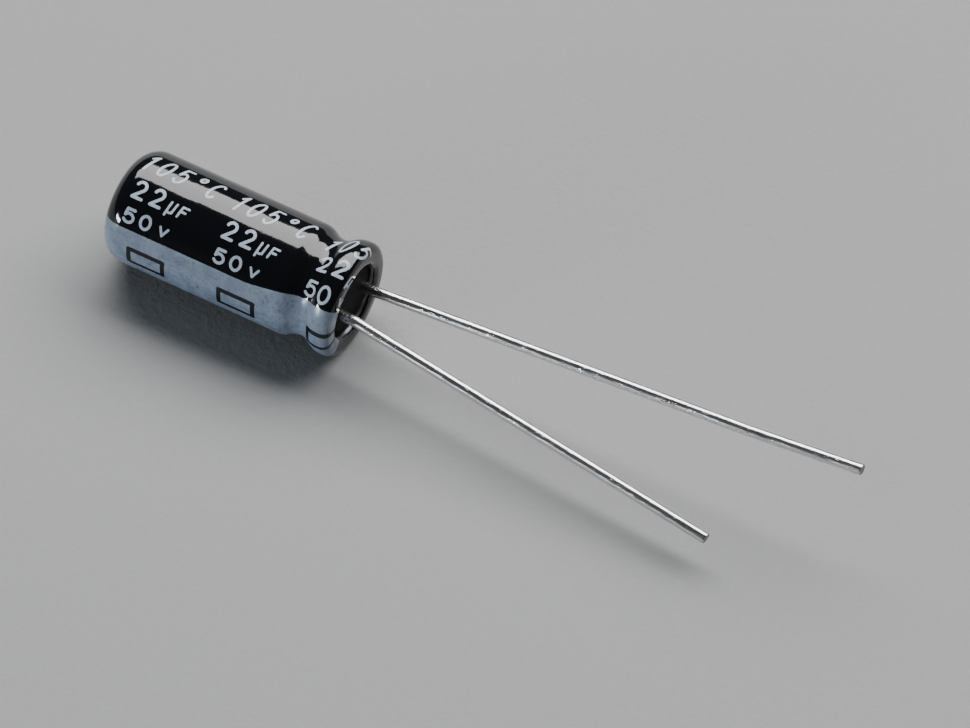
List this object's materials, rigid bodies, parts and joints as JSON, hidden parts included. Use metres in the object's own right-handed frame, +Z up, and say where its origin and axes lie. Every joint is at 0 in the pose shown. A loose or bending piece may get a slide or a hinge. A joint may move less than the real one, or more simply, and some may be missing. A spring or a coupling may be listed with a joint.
{
  "type": "radial electrolytic capacitor",
  "caption": "Small radial-lead electrolytic capacitor in a shrunk sleeve, with a rolled bead, a rubber seal and two uncut tinned leads.",
  "frame": {"origin": "on the can's axis, in the seating plane at the end where the leads come out", "axes": "+X along the can's axis towards the leads, +Z up with the part lying on its side as pictured, +Y away from the cathode's side"},
  "size_m": [0.0356, 0.0058, 0.0054],
  "materials": {
    "can": "bare drawn aluminium",
    "sleeve": "glossy black shrunk film with pale printed marks",
    "seal": "matte black rubber",
    "lead": "bright tinned wire",
    "tab": "bare",
    "anode_foil": "etched, dull grey",
    "cathode_foil": "dull",
    "paper": "soaked kraft paper",
    "tape": "thin film tape"
  },
  "bodies": {
    "root": {"can": "can", "sleeve": "sleeve", "rubber_seal": "seal", "anode_lead": "lead", "cathode_lead": "lead", "anode_tab": "tab", "cathode_tab": "tab", "anode_foil": "anode_foil", "cathode_foil": "cathode_foil", "inner_paper": "paper", "outer_paper": "paper", "winding_tape": "tape"}
  },
  "joints": []
}
